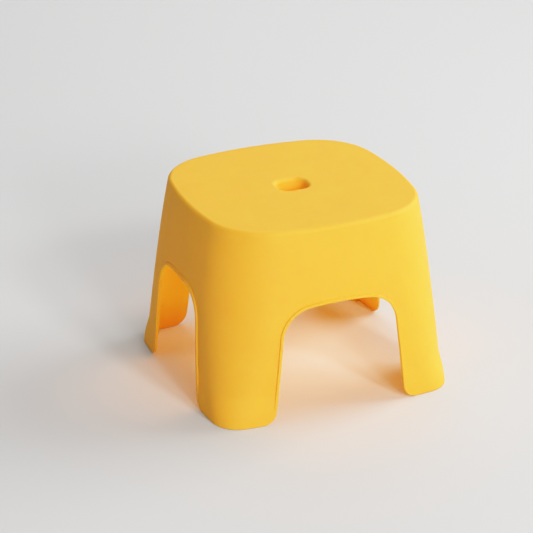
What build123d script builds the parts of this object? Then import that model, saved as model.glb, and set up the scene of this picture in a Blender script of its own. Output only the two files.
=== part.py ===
from build123d import *
import os
from math import hypot, sqrt

# Overall size, in millimetres, with the floor at height zero
stool_height = 200.0
seat_length = 233.4
seat_width = 228.6
foot_length = 261.6
foot_width = 253.2
wall_belly = 3.5

# Plan shape: four bowed sides and rounded corners, softer at the seat than at the feet
side_radius_seat = 330.0
side_radius_floor = 1180.0
corner_radius_seat = 65.0
corner_radius_floor = 32.9
corner_belly = 14.0

# Toe: the lowest part of each leg turns outwards, and more so at the corner
toe_top = 31.2
toe_knee = 4.7
toe_flare = 1.8
toe_corner_cut = 5.9
toe_crease = 0.6

# Wall thicknesses
wall = 2.2
seat_thickness = 3.0

# Edge rounding
seat_edge_radius = 4.8
inner_edge_radius = 2.0

# Arched openings: front and back share one arch, left and right the other
long_arch_half_width = 71.6
short_arch_half_width = 61.8
arch_height = 121.8
arch_crown_radius = 280.0
arch_shoulder_radius = 33.5
jamb_slope = 0.11
jamb_foot_radius = 15.0

# Raised lip round every arch
lip_width = 3.0
lip_rise = 1.6

# Finger hole in the seat, with a collar below it
hole_length = 32.0
hole_width = 27.0
hole_corner_radius = 10.3
hole_mouth_radius = 4.0
collar_depth = 12.0
collar_wall = 2.4

# Ribs under the seat
rib_thickness = 2.0
rib_depth = 9.0
rib_gap_x = 84.0
rib_gap_y = 72.0

# Foot blocks: the wall is thicker low down inside each leg's corner
block_reach = 25.0
block_inset = 7.0
block_height = 6.0
block_root = 0.7

# Foot pads, set in a groove in each block's underside
pad_drop = 0.2
groove_inset = 2.4
groove_width = 3.0
groove_depth = 4.0
groove_end_wall = 2.5
pad_clearance = 0.1
pad_end_flat = 0.4

# Values that follow from the sizes above
rim_level = pad_drop
seat_underside = stool_height - seat_thickness
cut_margin = 10.0
toe_levels = 6
wall_levels = 5


def blend(start, end, belly, share):
    """Go from start to end in a parabola that swells by belly half way."""
    return start + (end - start) * share + 4 * belly * share * (1 - share)


def toe_share(level):
    """Go from 0 at the toe's top, with a crease there, to 1 at its knee."""
    share = min(max((toe_top - level) / (toe_top - toe_knee), 0.0), 1.0)
    smooth = share * share * (3 - 2 * share)
    sharp = share * (2 - share)
    return blend(smooth, sharp, 0, toe_crease)


def side_crossing(half_x, half_y, radius):
    """Give the point where two neighbouring bowed sides would meet in a sharp corner."""
    reach_x = radius - half_x
    reach_y = radius - half_y
    spacing = hypot(reach_x, reach_y)
    rise = sqrt(radius**2 - (spacing / 2) ** 2)
    return (rise * reach_y / spacing - reach_x / 2, rise * reach_x / spacing - reach_y / 2)


def plan_section(level, inset, with_toe=True):
    """Draw the stool's outline at one level, moved inwards by inset."""
    share = (stool_height - level) / stool_height
    toe = toe_share(level) if with_toe else 0.0
    grow = toe_flare * toe - inset
    half_x = blend(seat_length / 2, foot_length / 2, wall_belly, share) + grow
    half_y = blend(seat_width / 2, foot_width / 2, wall_belly, share) + grow
    side_radius = blend(side_radius_seat, side_radius_floor, 0, share) + grow
    corner = blend(corner_radius_seat, corner_radius_floor, corner_belly, share) + grow
    corner -= toe_corner_cut * toe
    x, y = side_crossing(half_x, half_y, side_radius)
    with BuildSketch(Plane.XY.offset(level)) as section:
        with BuildLine():
            ThreePointArc((-x, -y), (0, -half_y), (x, -y))
            ThreePointArc((x, -y), (half_x, 0), (x, y))
            ThreePointArc((x, y), (0, half_y), (-x, y))
            ThreePointArc((-x, y), (-half_x, 0), (-x, -y))
        make_face()
        fillet(section.vertices(), corner)
    return section.sketch


def spaced(low, high, count):
    """List evenly spaced levels from low to high."""
    return [low + (high - low) * step / count for step in range(count + 1)]


def arch_face(plane, half_width, grow):
    """Draw an arched opening, grown outwards by grow, that widens round the legs' lower corners."""
    foot = half_width + grow * hypot(1, jamb_slope)
    crown = arch_height + grow
    radius = arch_crown_radius + grow
    jamb_start = foot - jamb_slope * (crown - radius - rim_level)
    lean = 1 + jamb_slope**2
    rise = (jamb_start * jamb_slope + sqrt(radius**2 * lean - jamb_start**2)) / lean
    spring = crown - radius + rise
    shoulder = jamb_start - jamb_slope * rise
    floor = rim_level - cut_margin
    outside = foot + 2 * jamb_foot_radius
    with BuildSketch(plane) as face:
        with BuildLine():
            Polyline((-shoulder, spring), (-foot, rim_level), (-outside, rim_level), (-outside, floor))
            Line((-outside, floor), (outside, floor))
            Polyline((outside, floor), (outside, rim_level), (foot, rim_level), (shoulder, spring))
            ThreePointArc((shoulder, spring), (0, crown), (-shoulder, spring))
        make_face()
        corners = face.vertices().group_by(Axis.Y)
        fillet(corners[-1], arch_shoulder_radius + grow)
        feet = face.vertices().filter_by(lambda corner: abs(abs(corner.X) - foot) < 0.01)
        fillet(feet, jamb_foot_radius - grow)
    return face.sketch


# Outer body: the wall, then the toe below it
with BuildPart() as body:
    loft(sections=[plan_section(level, 0) for level in spaced(toe_top, stool_height, wall_levels)])
    fillet(body.faces().sort_by(Axis.Z)[-1].edges(), seat_edge_radius)
    loft(sections=[plan_section(level, 0) for level in spaced(0, toe_top, toe_levels)])

# Space inside, with the ribs and the collar left standing
with BuildPart() as cavity:
    loft(sections=[plan_section(level, wall) for level in spaced(toe_top, seat_underside, wall_levels)])
    fillet(cavity.faces().sort_by(Axis.Z)[-1].edges(), inner_edge_radius)
    loft(sections=[plan_section(level, wall) for level in spaced(-cut_margin, toe_top, toe_levels)])
    with BuildSketch(Plane.XY.offset(seat_underside)):
        with GridLocations(0, rib_gap_y, 1, 2):
            Rectangle(foot_length, rib_thickness)
        with GridLocations(rib_gap_x, 0, 2, 1):
            Rectangle(rib_thickness, foot_width)
    extrude(amount=-rib_depth, mode=Mode.SUBTRACT)
    with BuildSketch(Plane.XY.offset(seat_underside)):
        RectangleRounded(
            hole_length + 2 * collar_wall,
            hole_width + 2 * collar_wall,
            hole_corner_radius + collar_wall,
        )
    extrude(amount=seat_thickness - collar_depth, mode=Mode.SUBTRACT)

# Both pairs of arched openings
with BuildPart() as arches:
    extrude(arch_face(Plane.XZ, long_arch_half_width, 0), amount=foot_width, both=True)
    extrude(arch_face(Plane.YZ, short_arch_half_width, 0), amount=foot_length, both=True)

# Bands round the arches that carry the lip
with BuildPart() as surrounds:
    extrude(arch_face(Plane.XZ, long_arch_half_width, lip_width), amount=foot_width, both=True)
    extrude(arch_face(Plane.YZ, short_arch_half_width, lip_width), amount=foot_length, both=True)

# Lip: a thin skin over the wall, kept only in those bands
with BuildPart() as lip:
    loft(sections=[plan_section(z, -lip_rise, False) for z in spaced(0, stool_height, wall_levels)])
    add(surrounds.part, mode=Mode.INTERSECT)

# Finger hole through the seat and its collar
with BuildPart() as finger_hole:
    with BuildSketch(Plane.XY.offset(stool_height)):
        RectangleRounded(hole_length, hole_width, hole_corner_radius)
    extrude(amount=-collar_depth - cut_margin)


def corner_strip(side_x, side_y, near, far, back):
    """Draw the strip between two insets round one leg's corner, back from the foot block's ends."""
    start_x = foot_length / 2 - block_reach + back
    start_y = foot_width / 2 - block_reach + back
    with BuildSketch(Plane.XY.offset(rim_level)) as strip:
        add(plan_section(0, near))
        add(plan_section(0, far), mode=Mode.SUBTRACT)
        with Locations((side_x * start_x, side_y * start_y)):
            Rectangle(
                foot_length,
                foot_width,
                align=(Align.MIN if side_x > 0 else Align.MAX, Align.MIN if side_y > 0 else Align.MAX),
                mode=Mode.INTERSECT,
            )
    return strip.sketch


def groove_strip(side_x, side_y, margin):
    """Draw one leg's groove with rounded ends, kept margin away from the groove's walls."""
    near = groove_inset + margin
    far = groove_inset + groove_width - margin
    with BuildSketch(Plane.XY.offset(rim_level)) as strip:
        add(corner_strip(side_x, side_y, near, far, groove_end_wall + margin))
        ends_x = strip.vertices().group_by(Axis.X)[0 if side_x > 0 else -1]
        ends_y = strip.vertices().group_by(Axis.Y)[0 if side_y > 0 else -1]
        fillet(ends_x + ends_y, (far - near - pad_end_flat) / 2)
    return strip.sketch


legs = {
    "front_left": (-1, -1),
    "front_right": (1, -1),
    "rear_left": (-1, 1),
    "rear_right": (1, 1),
}

# Shell: one moulding of seat, skirt, legs, lip, collar and ribs
with BuildPart() as stool_shell:
    add(body.part)
    add(lip.part)
    add(cavity.part, mode=Mode.SUBTRACT)
    add(arches.part, mode=Mode.SUBTRACT)
    add(finger_hole.part, mode=Mode.SUBTRACT)
    seat = stool_shell.faces().sort_by(Axis.Z)[-1]
    fillet(seat.inner_wires()[0].edges(), hole_mouth_radius)
    split(bisect_by=Plane.XY.offset(rim_level), keep=Keep.TOP)
    for side_x, side_y in legs.values():
        extrude(corner_strip(side_x, side_y, wall - block_root, block_inset, 0), amount=block_height)
        extrude(groove_strip(side_x, side_y, 0), amount=groove_depth, mode=Mode.SUBTRACT)
stool_shell.part.label = "stool_shell"

os.makedirs("parts", exist_ok=True)
export_step(stool_shell.part, "parts/stool_shell.step")
for leg, (side_x, side_y) in legs.items():
    with BuildPart() as pad:
        extrude(groove_strip(side_x, side_y, pad_clearance), amount=groove_depth)
        extrude(groove_strip(side_x, side_y, pad_clearance), amount=-pad_drop)
    pad.part.label = leg + "_foot_pad"
    export_step(pad.part, "parts/" + pad.part.label + ".step")
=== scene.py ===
from math import atan, atan2, cos, exp, hypot, pi, radians, sin, sqrt

import bmesh
import bpy
from mathutils import Matrix, Vector


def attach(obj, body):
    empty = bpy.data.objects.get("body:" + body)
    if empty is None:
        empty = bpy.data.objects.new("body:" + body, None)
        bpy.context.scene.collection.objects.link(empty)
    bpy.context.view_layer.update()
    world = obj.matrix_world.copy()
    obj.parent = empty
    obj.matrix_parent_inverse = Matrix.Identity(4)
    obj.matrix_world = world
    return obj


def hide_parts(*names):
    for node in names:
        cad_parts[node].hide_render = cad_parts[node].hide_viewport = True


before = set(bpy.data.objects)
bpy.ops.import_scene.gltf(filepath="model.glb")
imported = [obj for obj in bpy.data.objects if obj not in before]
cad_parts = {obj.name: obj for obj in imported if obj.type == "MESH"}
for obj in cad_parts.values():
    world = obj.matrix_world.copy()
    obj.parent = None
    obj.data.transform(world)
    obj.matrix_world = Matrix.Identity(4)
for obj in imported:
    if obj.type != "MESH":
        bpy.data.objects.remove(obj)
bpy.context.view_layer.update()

# Shape values in millimetres, the same as the CAD model's
MM = 0.001
STOOL_HEIGHT = 200.0
SEAT_LENGTH = 233.4
SEAT_WIDTH = 228.6
FOOT_LENGTH = 261.6
FOOT_WIDTH = 253.2
WALL_BELLY = 3.5
SIDE_RADIUS_SEAT = 330.0
SIDE_RADIUS_FLOOR = 1180.0
CORNER_RADIUS_SEAT = 65.0
CORNER_RADIUS_FLOOR = 32.9
CORNER_BELLY = 14.0
TOE_TOP = 31.2
TOE_KNEE = 4.7
TOE_FLARE = 1.8
TOE_CORNER_CUT = 5.9
TOE_CREASE = 0.6
WALL = 2.2
SEAT_THICKNESS = 3.0
SEAT_EDGE_RADIUS = 4.8
INNER_EDGE_RADIUS = 2.0
LONG_ARCH_HALF_WIDTH = 71.6
SHORT_ARCH_HALF_WIDTH = 61.8
ARCH_HEIGHT = 121.8
ARCH_CROWN_RADIUS = 280.0
ARCH_SHOULDER_RADIUS = 33.5
JAMB_SLOPE = 0.11
JAMB_FOOT_RADIUS = 15.0
LIP_WIDTH = 3.0
LIP_RISE = 1.6
HOLE_LENGTH = 32.0
HOLE_WIDTH = 27.0
HOLE_CORNER_RADIUS = 10.3
HOLE_MOUTH_RADIUS = 4.0
COLLAR_DEPTH = 12.0
COLLAR_WALL = 2.4
RIB_THICKNESS = 2.0
RIB_DEPTH = 9.0
RIB_GAP_X = 84.0
RIB_GAP_Y = 72.0
RIM_LEVEL = 0.2
BLOCK_REACH = 25.0
BLOCK_INSET = 7.0
BLOCK_HEIGHT = 6.0
BLOCK_ROOT = 0.7
GROOVE_INSET = 2.4
GROOVE_WIDTH = 3.0
GROOVE_DEPTH = 4.0
GROOVE_END_WALL = 2.5
PAD_END_FLAT = 0.4
SEAT_UNDERSIDE = STOOL_HEIGHT - SEAT_THICKNESS

# Small edge roundings of the moulding, in millimetres
LIP_STEP = 0.5
ARCH_EDGE_RADIUS = 0.6
INNER_ARCH_EDGE_RADIUS = 0.4
COLLAR_EDGE_RADIUS = 0.5
COLLAR_ROOT_RADIUS = 0.8
RIB_EDGE_RADIUS = 0.5
RIB_ROOT = 0.5
BLOCK_EDGE_RADIUS = 1.5
OUTER_BAND = 5.0
INNER_BAND = 1.5

# Mesh density: how many faces run along each part of an edge
CROWN_STEPS = 14
SHOULDER_STEPS = 16
JAMB_STEPS = 32
FOOT_STEPS = 8
RIM_STEPS = 44
UPPER_STEPS = 18
ROUND_STEPS = 7
SMALL_ROUND_STEPS = 4
SEAT_RINGS = 12

# Points closer together than this become one, in millimetres
WELD_DISTANCE = 0.002

# Edges that bend by more than this stay sharp, in degrees
SHARP_ANGLE = 35.0

# Studio values, in metres
STOOL_MIDDLE = (0.0, 0.0, 0.1)
SEAT_MIDDLE = (0.0, 0.0, 0.2)
FLOOR_MIDDLE = (0.0, 0.0, 0.0)
FLOOR_HALF_SIZE = 12.0
LAMP_SIZE = 0.5
PANEL_SIZE = 2.5
GLOW_SIZE = 0.17
WHITE = (1.0, 1.0, 1.0)


def blend(start, end, belly, share):
    """Go from start to end in a parabola that swells by belly half way."""
    return start + (end - start) * share + 4 * belly * share * (1 - share)


def mix(start, end, share):
    """Go from start to end in a straight line."""
    return start + (end - start) * share


def smooth_step(share):
    """Go smoothly from 0 to 1."""
    share = min(max(share, 0.0), 1.0)
    return share * share * (3 - 2 * share)


def quarter_turn(steps):
    """List the angles along a quarter of a circle."""
    return [pi / 2 * step / steps for step in range(steps + 1)]


def toe_share(level):
    """Go from 0 above the toe, with a crease at its top, to 1 below its knee."""
    share = min(max((TOE_TOP - level) / (TOE_TOP - TOE_KNEE), 0.0), 1.0)
    return mix(smooth_step(share), share * (2 - share), TOE_CREASE)


def no_inset(level):
    """Stand for the outer surface."""
    return 0.0


def wall_inset(level):
    """Stand for the inner surface."""
    return WALL


def lip_rise(level):
    """Give how far the lip stands proud, which fades into the toe's flare."""
    return max(LIP_RISE - TOE_FLARE * toe_share(level), 0.0)


class Outline:
    """A quarter of the plan outline at one level, moved inwards by inset.

    Share 0 is at x = 0, and share 1 at y = 0.
    """

    def __init__(self, level, inset):
        share = (STOOL_HEIGHT - level) / STOOL_HEIGHT
        toe = toe_share(level)
        grow = TOE_FLARE * toe - inset
        half_x = blend(SEAT_LENGTH / 2, FOOT_LENGTH / 2, WALL_BELLY, share) + grow
        half_y = blend(SEAT_WIDTH / 2, FOOT_WIDTH / 2, WALL_BELLY, share) + grow
        self.radius = blend(SIDE_RADIUS_SEAT, SIDE_RADIUS_FLOOR, 0, share) + grow
        corner = blend(CORNER_RADIUS_SEAT, CORNER_RADIUS_FLOOR, CORNER_BELLY, share) + grow
        self.corner = corner - TOE_CORNER_CUT * toe
        self.reach_x = self.radius - half_x
        self.reach_y = self.radius - half_y
        spacing = hypot(self.reach_x, self.reach_y)
        rise = sqrt((self.radius - self.corner) ** 2 - (spacing / 2) ** 2)
        self.middle_x = rise * self.reach_y / spacing - self.reach_x / 2
        self.middle_y = rise * self.reach_x / spacing - self.reach_y / 2
        self.first_angle = atan2(self.middle_y + self.reach_y, self.middle_x)
        self.last_angle = atan2(self.middle_y, self.middle_x + self.reach_x)
        self.first_x = self.middle_x + self.corner * cos(self.first_angle)
        self.last_y = self.middle_y + self.corner * sin(self.last_angle)
        self.bend = self.corner * (self.first_angle - self.last_angle)
        self.length = self.first_x + self.bend + self.last_y

    def point(self, share):
        """Give x and y at a share of the quarter's length."""
        run = share * self.length
        if run < self.first_x:
            return run, sqrt(self.radius**2 - run**2) - self.reach_y
        run -= self.first_x
        if run < self.bend:
            angle = self.first_angle - run / self.corner
            return self.middle_x + self.corner * cos(angle), self.middle_y + self.corner * sin(angle)
        y = self.last_y - (run - self.bend)
        return sqrt(self.radius**2 - y**2) - self.reach_x, y

    def share_at_x(self, x):
        """Give the share of a point on the side that faces along y."""
        return x / self.length

    def share_at_y(self, y):
        """Give the share of a point on the side that faces along x."""
        return 1 - y / self.length


def arch_edge(half_width):
    """List the arch's edge from the middle of its crown to the foot.

    Each entry has a place along the wall, a level, and the direction into the wall.
    """
    lean = hypot(1, JAMB_SLOPE)
    jamb_angle = atan(JAMB_SLOPE)
    jamb_reach = (half_width + JAMB_SLOPE * RIM_LEVEL) / lean
    crown_centre = ARCH_HEIGHT - ARCH_CROWN_RADIUS
    near = ARCH_CROWN_RADIUS - ARCH_SHOULDER_RADIUS
    start = (jamb_reach - ARCH_SHOULDER_RADIUS) * lean - JAMB_SLOPE * crown_centre
    above = (start * JAMB_SLOPE + sqrt((near * lean) ** 2 - start**2)) / lean**2
    shoulder_u = start - JAMB_SLOPE * above
    shoulder_z = crown_centre + above
    foot_z = RIM_LEVEL + JAMB_FOOT_RADIUS
    foot_u = (jamb_reach + JAMB_FOOT_RADIUS) * lean - JAMB_SLOPE * foot_z
    shoulder_angle = atan2(above, shoulder_u)

    def arc(centre_u, centre_z, radius, first, last, steps):
        for step in range(steps):
            angle = mix(first, last, step / steps)
            yield centre_u + radius * cos(angle), centre_z + radius * sin(angle), cos(angle), sin(angle)

    edge = list(arc(0, crown_centre, ARCH_CROWN_RADIUS, pi / 2, shoulder_angle, CROWN_STEPS))
    edge[0] = (0.0, ARCH_HEIGHT, 0.0, 1.0)
    edge += arc(shoulder_u, shoulder_z, ARCH_SHOULDER_RADIUS, shoulder_angle, jamb_angle, SHOULDER_STEPS)
    along = (cos(jamb_angle), sin(jamb_angle))
    jamb_top = shoulder_z + ARCH_SHOULDER_RADIUS * along[1]
    jamb_foot = foot_z - JAMB_FOOT_RADIUS * along[1]
    for step in range(JAMB_STEPS):
        level = mix(jamb_top, jamb_foot, step / JAMB_STEPS)
        edge.append((jamb_reach * lean - JAMB_SLOPE * level, level, *along))
    edge += arc(foot_u, foot_z, -JAMB_FOOT_RADIUS, jamb_angle, pi / 2, FOOT_STEPS)
    edge.append((foot_u, RIM_LEVEL, 0.0, 1.0))
    return edge


long_edge = arch_edge(LONG_ARCH_HALF_WIDTH)
short_edge = arch_edge(SHORT_ARCH_HALF_WIDTH)
LAST = len(long_edge) - 1
EDGE_COUNT = 2 * LAST + RIM_STEPS + 1
SHOULDER_MIDDLE = CROWN_STEPS + SHOULDER_STEPS // 2
FOOT_MIDDLE = LAST - FOOT_STEPS // 2


def edge_place(index, offset, inset_rule):
    """Give share and level of a point that lies offset away from the shell's lower edge."""
    if LAST < index < LAST + RIM_STEPS:
        level = RIM_LEVEL + offset
        outline = Outline(level, inset_rule(level))
        first = outline.share_at_x(long_edge[-1][0])
        last = outline.share_at_y(short_edge[-1][0])
        return mix(first, last, (index - LAST) / RIM_STEPS), level
    on_long = index <= LAST
    u, z, to_u, to_z = long_edge[index] if on_long else short_edge[EDGE_COUNT - 1 - index]
    level = z + to_z * offset
    outline = Outline(level, inset_rule(level))
    place = u + to_u * offset
    return (outline.share_at_x(place) if on_long else outline.share_at_y(place)), level


def surface_point(share, level, inset):
    """Give the point in space at a share of the outline."""
    return (*Outline(level, inset).point(share), level)


def edge_profile():
    """List the section of the shell's lower edge, from the outer surface over the lip to the inner surface.

    Each entry has the distance from the edge and a rule for the inset at a level.
    """
    profile = [(OUTER_BAND, no_inset)]
    steps = 2 * SMALL_ROUND_STEPS
    for step in range(steps + 1):
        share = step / steps
        profile.append((
            LIP_WIDTH + LIP_STEP * (0.5 - share),
            lambda level, share=share: -lip_rise(level) * smooth_step(share),
        ))
    profile.append((mix(ARCH_EDGE_RADIUS, LIP_WIDTH - LIP_STEP / 2, 0.5), lambda level: -lip_rise(level)))
    for angle in quarter_turn(SMALL_ROUND_STEPS):
        drop = ARCH_EDGE_RADIUS * (1 - cos(angle))
        profile.append((
            ARCH_EDGE_RADIUS * (1 - sin(angle)),
            lambda level, drop=drop: drop - lip_rise(level),
        ))
    profile.append((0.0, lambda level: (wall_inset(level) - lip_rise(level)) / 2))
    for angle in quarter_turn(SMALL_ROUND_STEPS):
        drop = INNER_ARCH_EDGE_RADIUS * (1 - sin(angle))
        profile.append((
            INNER_ARCH_EDGE_RADIUS * (1 - cos(angle)),
            lambda level, drop=drop: wall_inset(level) - drop,
        ))
    profile.append((INNER_BAND, wall_inset))
    return profile


def edge_strip():
    """Sweep the edge profile along the arches' and the legs' lower edges."""
    strip = []
    for offset, inset_rule in edge_profile():
        row = []
        for index in range(EDGE_COUNT):
            share, level = edge_place(index, offset, inset_rule)
            row.append(surface_point(share, level, inset_rule(level)))
        strip.append(row)
    return strip


def skin(band, inset_rule, top_level):
    """Fill the wall between the edge strip and top_level.

    One grid covers the leg, and another the skirt above it. The shares along the skirt come last.
    """
    edge = [edge_place(index, band, inset_rule) for index in range(EDGE_COUNT)]
    left = edge[SHOULDER_MIDDLE : FOOT_MIDDLE + 1][::-1]
    right = edge[EDGE_COUNT - 1 - FOOT_MIDDLE : EDGE_COUNT - SHOULDER_MIDDLE]
    bottom = edge[FOOT_MIDDLE : EDGE_COUNT - FOOT_MIDDLE]
    span = bottom[-1][0] - bottom[0][0]
    across = [(share - bottom[0][0]) / span for share, level in bottom]
    top = [tuple(mix(left[-1][k], right[-1][k], a) for k in (0, 1)) for a in across]
    leg = []
    for low, high in zip(left, right):
        up = (low[1] - left[0][1]) / (left[-1][1] - left[0][1])
        row = []
        for a, foot, head in zip(across, bottom, top):
            place = []
            for k in (0, 1):
                corners = mix(mix(bottom[0][k], bottom[-1][k], a), mix(top[0][k], top[-1][k], a), up)
                place.append(mix(low[k], high[k], a) + mix(foot[k], head[k], up) - corners)
            row.append(surface_point(*place, inset_rule(place[1])))
        leg.append(row)
    base = edge[:SHOULDER_MIDDLE] + top + edge[EDGE_COUNT - SHOULDER_MIDDLE :]
    skirt = []
    for step in range(UPPER_STEPS + 1):
        row = []
        for share, level in base:
            height = mix(level, top_level, step / UPPER_STEPS)
            row.append(surface_point(share, height, inset_rule(height)))
        skirt.append(row)
    return leg, skirt, [share for share, level in base]


def hole_point(share, grow, level):
    """Give a point of the finger hole's outline, moved outwards by grow."""
    straight_x = HOLE_LENGTH / 2 - HOLE_CORNER_RADIUS
    straight_y = HOLE_WIDTH / 2 - HOLE_CORNER_RADIUS
    bend = HOLE_CORNER_RADIUS * pi / 2
    run = share * (straight_x + bend + straight_y)
    if run < straight_x:
        return run, HOLE_WIDTH / 2 + grow, level
    if run < straight_x + bend:
        angle = pi / 2 - (run - straight_x) / HOLE_CORNER_RADIUS
        radius = HOLE_CORNER_RADIUS + grow
        return straight_x + radius * cos(angle), straight_y + radius * sin(angle), level
    return HOLE_LENGTH / 2 + grow, straight_y - (run - straight_x - bend), level


def rounded_top(shares, level, inset, radius):
    """List the rings of the rounding between the wall and a flat top, above the wall's last ring."""
    rings = []
    draft = top_draft()
    for step in range(1, ROUND_STEPS + 1):
        angle = mix(draft, pi / 2, step / ROUND_STEPS)
        outline = Outline(level, inset + radius / cos(draft) - radius * cos(angle))
        rings.append([(*outline.point(share), level + radius * sin(angle)) for share in shares])
    return rings


def top_draft():
    """Give the wall's slope from upright near the seat."""
    return atan(((FOOT_LENGTH - SEAT_LENGTH) / 2 + 4 * WALL_BELLY) / STOOL_HEIGHT)


def between(first, last, count):
    """List rings that lie evenly between two rings."""
    return [
        [tuple(mix(a, b, step / count) for a, b in zip(p, q)) for p, q in zip(first, last)]
        for step in range(1, count)
    ]


def hole_rings(shares):
    """List the rings of the finger hole and its collar, from the seat's top to its underside."""
    profile = []
    for angle in quarter_turn(ROUND_STEPS):
        profile.append((
            HOLE_MOUTH_RADIUS * (1 - sin(angle)),
            STOOL_HEIGHT - HOLE_MOUTH_RADIUS * (1 - cos(angle)),
        ))
    collar_foot = STOOL_HEIGHT - COLLAR_DEPTH
    collar_round = collar_foot + COLLAR_EDGE_RADIUS
    profile.append((0.0, mix(profile[-1][1], collar_round, 0.5)))
    for angle in quarter_turn(SMALL_ROUND_STEPS):
        grow = COLLAR_EDGE_RADIUS * (1 - cos(angle))
        profile.append((grow, collar_round - COLLAR_EDGE_RADIUS * sin(angle)))
    for angle in quarter_turn(SMALL_ROUND_STEPS):
        grow = COLLAR_WALL - COLLAR_EDGE_RADIUS * (1 - sin(angle))
        profile.append((grow, collar_round - COLLAR_EDGE_RADIUS * cos(angle)))
    for angle in quarter_turn(SMALL_ROUND_STEPS):
        grow = COLLAR_WALL + COLLAR_ROOT_RADIUS * (1 - cos(angle))
        profile.append((grow, SEAT_UNDERSIDE - COLLAR_ROOT_RADIUS * (1 - sin(angle))))
    return [[hole_point(share, grow, level) for share in shares] for grow, level in profile]


def quarter_grids():
    """List the point grids that make one quarter of the shell."""
    draft = top_draft()
    edge_level = STOOL_HEIGHT - SEAT_EDGE_RADIUS
    inner_level = SEAT_UNDERSIDE - INNER_EDGE_RADIUS
    leg, skirt, shares = skin(OUTER_BAND, no_inset, edge_level + SEAT_EDGE_RADIUS * sin(draft))
    inner_top = inner_level + INNER_EDGE_RADIUS * sin(draft)
    inner_leg, inner_skirt, inner_shares = skin(INNER_BAND, wall_inset, inner_top)
    seat_edge = rounded_top(shares, edge_level, 0.0, SEAT_EDGE_RADIUS)
    hole = hole_rings(shares)
    inner_edge = rounded_top(inner_shares, inner_level, WALL, INNER_EDGE_RADIUS)
    seat = [skirt[-1]] + seat_edge + between(seat_edge[-1], hole[0], SEAT_RINGS) + hole
    seat += between(hole[-1], inner_edge[-1], SEAT_RINGS) + inner_edge[::-1] + [inner_skirt[-1]]
    return [edge_strip(), leg, skirt, seat, inner_leg, inner_skirt]


def add_grid(mesh, grid, flip_x, flip_y):
    """Add one grid of points to the mesh as faces, mirrored as asked."""
    rows = [[mesh.verts.new((x * flip_x * MM, y * flip_y * MM, z * MM)) for x, y, z in row] for row in grid]
    for low, high in zip(rows, rows[1:]):
        for a, b, c, d in zip(low, low[1:], high[1:], high):
            mesh.faces.new((a, b, c, d))


def object_from(mesh, name):
    """Turn a bmesh into an object in the scene."""
    data = bpy.data.meshes.new(name)
    mesh.to_mesh(data)
    mesh.free()
    made = bpy.data.objects.new(name, data)
    bpy.context.collection.objects.link(made)
    return made


def moulded_shell():
    """Make the shell without its ribs, foot blocks and grooves."""
    grids = quarter_grids()
    mesh = bmesh.new()
    for flip_x in (1, -1):
        for flip_y in (1, -1):
            for grid in grids:
                add_grid(mesh, grid, flip_x, flip_y)
    bmesh.ops.remove_doubles(mesh, verts=mesh.verts, dist=WELD_DISTANCE * MM)
    bmesh.ops.recalc_face_normals(mesh, faces=mesh.faces)
    return object_from(mesh, "moulded_shell")


def add_solid(mesh, rings):
    """Add a closed solid that runs through rings of points, with a flat face at each end."""
    loops = [[mesh.verts.new((x * MM, y * MM, z * MM)) for x, y, z in ring] for ring in rings]
    mesh.faces.new(loops[0][::-1])
    mesh.faces.new(loops[-1])
    for low, high in zip(loops, loops[1:]):
        for k in range(len(low)):
            mesh.faces.new((low[k - 1], low[k], high[k], high[k - 1]))


def add_rib(mesh, along_x, place):
    """Add one rib, with a rounded lower edge, that ends inside the wall."""
    half = RIB_THICKNESS / 2
    top = SEAT_UNDERSIDE + RIB_ROOT
    foot = SEAT_UNDERSIDE - RIB_DEPTH
    section = [(half, top)]
    for angle in quarter_turn(SMALL_ROUND_STEPS):
        section.append((
            half - RIB_EDGE_RADIUS * (1 - cos(angle)),
            foot + RIB_EDGE_RADIUS * (1 - sin(angle)),
        ))
    section += [(-across, level) for across, level in section[::-1]]
    wall = Outline((top + foot) / 2, WALL / 2)
    if along_x:
        end = wall.point(wall.share_at_y(abs(place)))[0]
    else:
        end = wall.point(wall.share_at_x(abs(place)))[1]
    rings = []
    for run in (-end, end):
        corners = [(run, place + across, level) for across, level in section]
        if not along_x:
            corners = [(y, x, z) for x, y, z in corners]
        rings.append(corners)
    add_solid(mesh, rings)


def ribs(along_x):
    """Make the two ribs that run one way under the seat."""
    mesh = bmesh.new()
    gap = RIB_GAP_Y if along_x else RIB_GAP_X
    for place in (-gap / 2, gap / 2):
        add_rib(mesh, along_x, place)
    bmesh.ops.recalc_face_normals(mesh, faces=mesh.faces)
    return object_from(mesh, "ribs")


def corner_run(inset, back):
    """List points round one leg's corner at the floor, between the foot block's ends moved back."""
    line = Outline(0.0, inset)
    first = line.share_at_x(FOOT_LENGTH / 2 - BLOCK_REACH + back)
    last = line.share_at_y(FOOT_WIDTH / 2 - BLOCK_REACH + back)
    return [line.point(mix(first, last, step / RIM_STEPS)) for step in range(RIM_STEPS + 1)]


def block_rings():
    """List the rings of one foot block, whose upper edge is rounded."""
    outer = corner_run(WALL - BLOCK_ROOT, 0.0)
    edge_level = RIM_LEVEL + BLOCK_HEIGHT - BLOCK_EDGE_RADIUS
    sections = [(RIM_LEVEL, BLOCK_INSET)]
    for angle in quarter_turn(SMALL_ROUND_STEPS):
        inset = BLOCK_INSET - BLOCK_EDGE_RADIUS * (1 - cos(angle))
        sections.append((edge_level + BLOCK_EDGE_RADIUS * sin(angle), inset))
    return [[(x, y, level) for x, y in outer + corner_run(inset, 0.0)[::-1]] for level, inset in sections]


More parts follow.
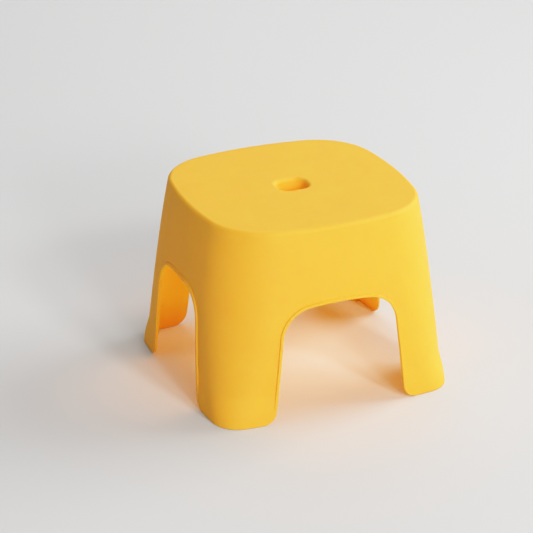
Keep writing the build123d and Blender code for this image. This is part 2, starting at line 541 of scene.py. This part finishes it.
def groove_rings():
    """List the rings of the block that one foot pad's groove is cut with, which has rounded ends."""
    far = GROOVE_INSET + GROOVE_WIDTH
    radius = (GROOVE_WIDTH - PAD_END_FLAT) / 2
    turns = quarter_turn(SMALL_ROUND_STEPS)
    cap = [(GROOVE_INSET + radius * (1 - cos(a)), radius * (1 - sin(a))) for a in turns]
    cap += [(far - radius * (1 - cos(a)), radius * (1 - sin(a))) for a in turns[::-1]]
    outline = corner_run(GROOVE_INSET, GROOVE_END_WALL + radius)[1:-1]
    outline += [corner_run(inset, GROOVE_END_WALL + back)[-1] for inset, back in cap]
    outline += corner_run(far, GROOVE_END_WALL + radius)[-2:0:-1]
    outline += [corner_run(inset, GROOVE_END_WALL + back)[0] for inset, back in cap[::-1]]
    return [[(x, y, RIM_LEVEL + side * GROOVE_DEPTH) for x, y in outline] for side in (-1, 1)]


def on_each_leg(rings, name):
    """Make one object of four solids, one at each leg."""
    mesh = bmesh.new()
    for flip_x in (1, -1):
        for flip_y in (1, -1):
            add_solid(mesh, [[(x * flip_x, y * flip_y, z) for x, y, z in ring] for ring in rings])
    bmesh.ops.recalc_face_normals(mesh, faces=mesh.faces)
    return object_from(mesh, name)


def combine(target, tool, operation):
    """Join a tool to the target's mesh or cut it out, and remove the tool."""
    step = target.modifiers.new("combine", "BOOLEAN")
    step.operation = operation
    step.solver = "EXACT"
    step.object = tool
    result = bpy.data.meshes.new_from_object(target.evaluated_get(bpy.context.evaluated_depsgraph_get()))
    target.modifiers.remove(step)
    spent = target.data
    target.data = result
    bpy.data.meshes.remove(spent)
    bpy.data.meshes.remove(tool.data)


def finished_shell():
    """Make the whole shell, with ribs, foot blocks, grooves and smooth shading."""
    made = moulded_shell()
    combine(made, ribs(True), "UNION")
    combine(made, ribs(False), "UNION")
    combine(made, on_each_leg(block_rings(), "foot_blocks"), "UNION")
    combine(made, on_each_leg(groove_rings(), "grooves"), "DIFFERENCE")
    made.data.name = made.name
    made.data.shade_smooth()
    made.data.set_sharp_from_angle(angle=radians(SHARP_ANGLE))
    weighted = made.modifiers.new("weighted_normals", "WEIGHTED_NORMAL")
    weighted.keep_sharp = True
    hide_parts("stool_shell")
    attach(made, "root")
    return made


def noise(tree, scale, detail):
    """Add a noise texture that sticks to the object."""
    place = tree.nodes.new("ShaderNodeTexCoord")
    made = tree.nodes.new("ShaderNodeTexNoise")
    made.inputs["Scale"].default_value = scale
    made.inputs["Detail"].default_value = detail
    tree.links.new(place.outputs["Object"], made.inputs["Vector"])
    return made


def tint(tree, pattern, dark, light, margin):
    """Colour the surface from dark to light by a pattern, and evenly within margin of its ends."""
    colour = tree.nodes.new("ShaderNodeValToRGB")
    first, last = colour.color_ramp.elements
    first.position = margin
    first.color = dark
    last.position = 1 - margin
    last.color = light
    tree.links.new(pattern.outputs["Fac"], colour.inputs["Fac"])
    tree.links.new(colour.outputs["Color"], tree.nodes["Principled BSDF"].inputs["Base Color"])


def roughen(tree, pattern, strength):
    """Give the surface a fine relief by a pattern."""
    bump = tree.nodes.new("ShaderNodeBump")
    bump.inputs["Strength"].default_value = strength
    bump.inputs["Distance"].default_value = 0.2 * MM
    tree.links.new(pattern.outputs["Fac"], bump.inputs["Height"])
    tree.links.new(bump.outputs["Normal"], tree.nodes["Principled BSDF"].inputs["Normal"])


def plastic():
    """Make the satin yellow plastic of the shell."""
    made = bpy.data.materials.new("shell_plastic_satin")
    made.use_nodes = True
    tree = made.node_tree
    shader = tree.nodes["Principled BSDF"]
    tone = noise(tree, scale=38.0, detail=3.0)
    tint(tree, tone, dark=(0.884, 0.446, 0.0477, 1), light=(0.903, 0.464, 0.0517, 1), margin=0.3)
    grain = noise(tree, scale=1400.0, detail=4.0)
    roughen(tree, grain, strength=0.12)
    gloss = tree.nodes.new("ShaderNodeMapRange")
    gloss.inputs["To Min"].default_value = 0.6
    gloss.inputs["To Max"].default_value = 0.74
    tree.links.new(grain.outputs["Fac"], gloss.inputs["Value"])
    tree.links.new(gloss.outputs["Result"], shader.inputs["Roughness"])
    shader.inputs["Subsurface Weight"].default_value = 0.5
    shader.inputs["Subsurface Radius"].default_value = (1.0, 0.45, 0.08)
    shader.inputs["Subsurface Scale"].default_value = 2.5 * MM
    return made


def rubber():
    """Make the matt rubber of the foot pads."""
    made = bpy.data.materials.new("pad_rubber_matt")
    made.use_nodes = True
    tree = made.node_tree
    mottle = noise(tree, scale=260.0, detail=4.0)
    tint(tree, mottle, dark=(0.60, 0.36, 0.05, 1), light=(0.76, 0.48, 0.08, 1), margin=0.0)
    roughen(tree, mottle, strength=0.2)
    tree.nodes["Principled BSDF"].inputs["Roughness"].default_value = 0.85
    return made


def dress(shell):
    """Give the shell and the foot pads their materials."""
    shell.data.materials.append(plastic())
    pad_material = rubber()
    for name in ("front_left", "front_right", "rear_left", "rear_right"):
        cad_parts[name + "_foot_pad"].material_slots[0].material = pad_material


def floor_material():
    """Make the plain pale floor."""
    made = bpy.data.materials.new("pale_floor")
    made.use_nodes = True
    shader = made.node_tree.nodes["Principled BSDF"]
    shader.inputs["Base Color"].default_value = (0.65, 0.648, 0.645, 1)
    shader.inputs["Roughness"].default_value = 0.75
    return made


def floor():
    """Make the floor that the stool stands on."""
    half = FLOOR_HALF_SIZE
    data = bpy.data.meshes.new("floor")
    corners = [(-half, -half, 0), (half, -half, 0), (half, half, 0), (-half, half, 0)]
    data.from_pydata(corners, [], [(0, 1, 2, 3)])
    made = bpy.data.objects.new("floor", data)
    bpy.context.collection.objects.link(made)
    data.materials.append(floor_material())


def aimed(direction):
    """Give the rotation that points a light or camera along a direction."""
    return direction.to_track_quat("-Z", "Y")


def area_light(name, place, size, power, target=STOOL_MIDDLE, colour=WHITE):
    """Make a soft square light that faces a target and isn't seen itself."""
    light = bpy.data.lights.new(name, "AREA")
    light.shape = "SQUARE"
    light.size = size
    light.energy = power
    light.color = colour
    made = bpy.data.objects.new(name, light)
    made.location = place
    made.rotation_mode = "QUATERNION"
    made.rotation_quaternion = aimed(Vector(target) - Vector(place))
    made.visible_camera = False
    bpy.context.collection.objects.link(made)


def studio():
    """Light the stool with lamps and soft panels, mostly from the front and the right."""
    area_light("front_lamp", (0.0, -3.71, 1.6), size=LAMP_SIZE, power=65.0)
    area_light("front_right_lamp", (0.85, -3.17, 2.39), size=LAMP_SIZE, power=60.0)
    area_light("front_panel", (0.0, -3.5, 2.04), size=PANEL_SIZE, power=84.0)
    area_light("right_panel", (3.2, 0.0, 2.2), size=PANEL_SIZE, power=136.0)
    area_light("left_panel", (-3.2, 0.0, 1.9), size=PANEL_SIZE, power=15.0)
    area_light("top_panel", (0.0, 0.0, 3.0), size=PANEL_SIZE, power=8.2)
    area_light("side_lamp", (1.14, 0.0, 0.73), size=0.9, power=4.9)
    area_light("background_lamp", (0.5, 1.5, 1.3), size=1.5, power=13.5, target=(0.3, 1.2, 0.0))


def glow():
    """Stand in for light that comes through the plastic, on the floor and on the inner walls."""
    under_seat, over_floor = (0.0, 0.0, 0.185), (0.0, 0.0, 0.002)
    back_wall, back_foot = (0.02, 0.07, 0.16), (0.02, 0.09, 0.0)
    leg_foot, leg_top = (0.095, 0.075, 0.002), (0.095, 0.075, 0.2)
    orange, red = (1.0, 0.38, 0.0), (1.0, 0.02, 0.0)
    green, pale_green = (0.03, 1.0, 0.11), (0.8, 1.0, 0.65)
    area_light("glow_down", under_seat, size=GLOW_SIZE, power=0.3, target=FLOOR_MIDDLE, colour=orange)
    area_light("glow_back", back_wall, size=0.06, power=0.026, target=back_foot, colour=red)
    area_light("glow_up", over_floor, size=GLOW_SIZE, power=0.166, target=SEAT_MIDDLE, colour=green)
    area_light("glow_leg", leg_foot, size=0.04, power=0.0061, target=leg_top, colour=pale_green)


def surround():
    """Light everything evenly from a pale surround."""
    world = bpy.data.worlds.new("pale_surround")
    world.use_nodes = True
    background = world.node_tree.nodes["Background"]
    background.inputs["Color"].default_value = (*WHITE, 1)
    background.inputs["Strength"].default_value = 0.372
    bpy.context.scene.world = world


def film():
    """Give the picture a camera's soft response to bright light."""
    view = bpy.context.scene.view_settings
    view.view_transform = "Standard"
    view.use_curve_mapping = True
    response = view.curve_mapping
    brightest, contrast = 3.0, 1.43
    steps, crowding = 12, 1.5

    def shade(share):
        return 1 - exp(-((share * brightest) ** contrast))

    response.white_level = (brightest, brightest, brightest)
    all_colours = response.curves[3]
    all_colours.points[1].location = (1.0, shade(1.0))
    for step in range(1, steps):
        share = (step / steps) ** crowding
        all_colours.points.new(share, shade(share))
    response.update()


def camera():
    """Look at the stool as the photo does, from the front left and above."""
    azimuth, elevation, roll = radians(-22.67), radians(24.67), radians(-0.24)
    back = Vector((sin(azimuth) * cos(elevation), -cos(azimuth) * cos(elevation), sin(elevation)))
    right = Vector((cos(azimuth), sin(azimuth), 0))
    up = back.cross(right)
    across = right * cos(roll) + up * sin(roll)
    upward = up * cos(roll) - right * sin(roll)
    place = Vector((-0.86515, -2.00343, 1.1098))
    data = bpy.data.cameras.new("camera")
    data.sensor_width = 36.0
    data.lens = 156.87
    made = bpy.data.objects.new("camera", data)
    turn = Matrix((across, upward, back)).transposed()
    made.matrix_world = Matrix.Translation(place) @ turn.to_4x4()
    bpy.context.collection.objects.link(made)
    bpy.context.scene.camera = made


dress(finished_shell())
floor()
studio()
glow()
surround()
film()
camera()
